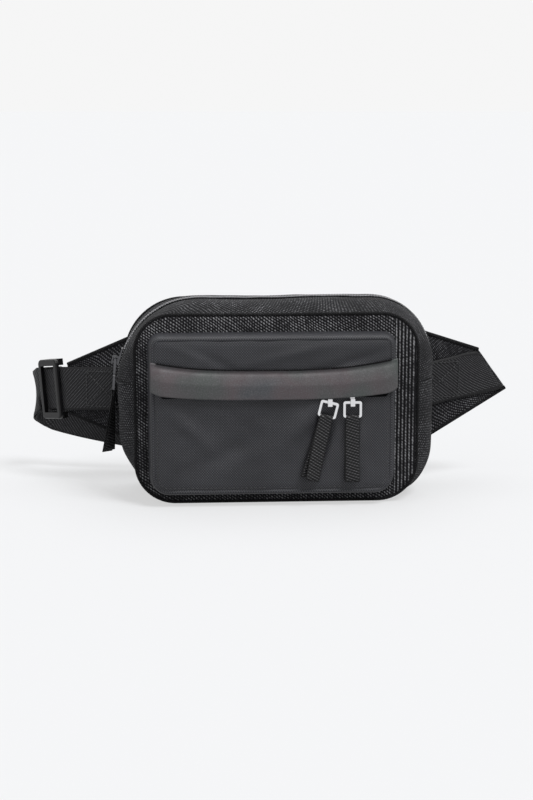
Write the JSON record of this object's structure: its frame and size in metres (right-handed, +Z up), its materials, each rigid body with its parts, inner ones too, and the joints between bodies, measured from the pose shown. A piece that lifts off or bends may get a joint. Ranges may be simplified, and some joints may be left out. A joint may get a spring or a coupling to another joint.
{
  "type": "waist bag",
  "caption": "Zipped waist bag with a front pocket under a reflective storm band, side wings and an adjustable webbing belt that buckles behind.",
  "frame": {"origin": "middle of the bag's underside, on the surface it stands on", "axes": "+X to the right seen from the front, +Y to the back, +Z up"},
  "size_m": [0.3867, 0.1609, 0.1541],
  "materials": {
    "shell_fabric": "coarse woven nylon with light flecks",
    "pocket_fabric": "coated fine weave, slightly shiny",
    "reflective_band": "smooth reflective film on fabric",
    "piping": "woven binding",
    "back_mesh": "air mesh over foam",
    "lining": "thin plain weave",
    "webbing": "twill webbing",
    "zip_tape": "woven tape",
    "zip_coil": "moulded coil",
    "bright_metal": "polished zinc",
    "dark_metal": "dark plated zinc",
    "ribbon": "ribbed woven ribbon",
    "hardware_plastic": "satin moulded acetal"
  },
  "bodies": {
    "bag": {"front_panel": "shell_fabric", "back_panel": "shell_fabric", "back_padding": "back_mesh", "gusset_front_strip": "shell_fabric", "gusset_rear_strip": "shell_fabric", "bottom_gusset": "shell_fabric", "front_piping": "piping", "rear_piping": "piping", "main_zip_tape": "zip_tape", "main_zip_teeth": "zip_coil", "main_zip_stops": "zip_coil", "zip_end_tabs": "shell_fabric", "main_lining": "lining", "pocket_gusset": "pocket_fabric", "pocket_lower_panel": "pocket_fabric", "pocket_upper_panel": "pocket_fabric", "storm_band": "reflective_band", "pocket_zip_tape": "zip_tape", "pocket_zip_teeth": "zip_coil", "pocket_zip_stops": "zip_coil", "left_wing": "shell_fabric", "right_wing": "shell_fabric", "left_webbing": "webbing", "left_webbing_return": "webbing", "right_webbing": "webbing", "buckle_socket": "hardware_plastic", "buckle_plug": "hardware_plastic"},
    "main_zip_slider": {"main_slider": "dark_metal"},
    "main_zip_pull": {"main_pull_ring": "dark_metal"},
    "main_zip_ribbon": {"main_pull_ribbon": "ribbon"},
    "left_pocket_slider": {"pocket_slider_left": "bright_metal"},
    "left_pocket_pull": {"pocket_ring_left": "bright_metal"},
    "left_pocket_ribbon": {"pocket_ribbon_left": "ribbon"},
    "right_pocket_slider": {"pocket_slider_right": "bright_metal"},
    "right_pocket_pull": {"pocket_ring_right": "bright_metal"},
    "right_pocket_ribbon": {"pocket_ribbon_right": "ribbon"},
    "adjuster": {"tri_glide": "hardware_plastic", "strap_end_loop": "webbing"},
    "upper_prong": {"buckle_prong_upper": "hardware_plastic"},
    "lower_prong": {"buckle_prong_lower": "hardware_plastic"}
  },
  "joints": [
    {"name": "main_zip_slide", "type": "hinge", "parent": "bag", "child": "main_zip_slider", "pos_m": [-0.053, 0, 0.089], "axis": [0, 1, 0], "range_deg": [-6, 70]},
    {"name": "main_pull_swing", "type": "hinge", "parent": "main_zip_slider", "child": "main_zip_pull", "pos_m": [-0.12008, 0, 0.10595], "axis": [0, 1, 0], "range_deg": [0, 100]},
    {"name": "main_ribbon_swing", "type": "hinge", "parent": "main_zip_pull", "child": "main_zip_ribbon", "pos_m": [-0.12166, 0, 0.08331], "axis": [0, 1, 0], "range_deg": [0, 80]},
    {"name": "left_slider_travel", "type": "slide", "parent": "bag", "child": "left_pocket_slider", "axis": [1, 0, 0], "range_m": [-0.1208, 0]},
    {"name": "left_pull_swing", "type": "hinge", "parent": "left_pocket_slider", "child": "left_pocket_pull", "pos_m": [0.041, -0.0574, 0.0804], "axis": [-0.9703, 0, 0.2419], "range_deg": [0, 90]},
    {"name": "left_ribbon_swing", "type": "hinge", "parent": "left_pocket_pull", "child": "left_pocket_ribbon", "pos_m": [0.03841, -0.0574, 0.07002], "axis": [-0.9703, 0, 0.2419], "range_deg": [0, 80]},
    {"name": "right_slider_travel", "type": "slide", "parent": "bag", "child": "right_pocket_slider", "axis": [1, 0, 0], "range_m": [0, 0.0188]},
    {"name": "right_pull_swing", "type": "hinge", "parent": "right_pocket_slider", "child": "right_pocket_pull", "pos_m": [0.058, -0.0574, 0.0804], "axis": [-1, 0, 0], "range_deg": [0, 90]},
    {"name": "right_ribbon_swing", "type": "hinge", "parent": "right_pocket_pull", "child": "right_pocket_ribbon", "pos_m": [0.058, -0.0574, 0.0697], "axis": [-1, 0, 0], "range_deg": [0, 80]},
    {"name": "adjuster_slide", "type": "slide", "parent": "bag", "child": "adjuster", "axis": [-0.5821, 0.8011, -0.1392], "range_m": [-0.003, 0.006], "deforming": ["left_webbing_return"]},
    {"name": "upper_prong_squeeze", "type": "hinge", "parent": "bag", "child": "upper_prong", "pos_m": [0.00775, 0.0755, 0.03525], "axis": [0, -1, 0], "range_deg": [0, 14], "stiffness_Nm_per_rad": 0.05},
    {"name": "lower_prong_squeeze", "type": "hinge", "parent": "bag", "child": "lower_prong", "pos_m": [0.00775, 0.0755, 0.01275], "axis": [0, 1, 0], "range_deg": [0, 14], "stiffness_Nm_per_rad": 0.05}
  ]
}
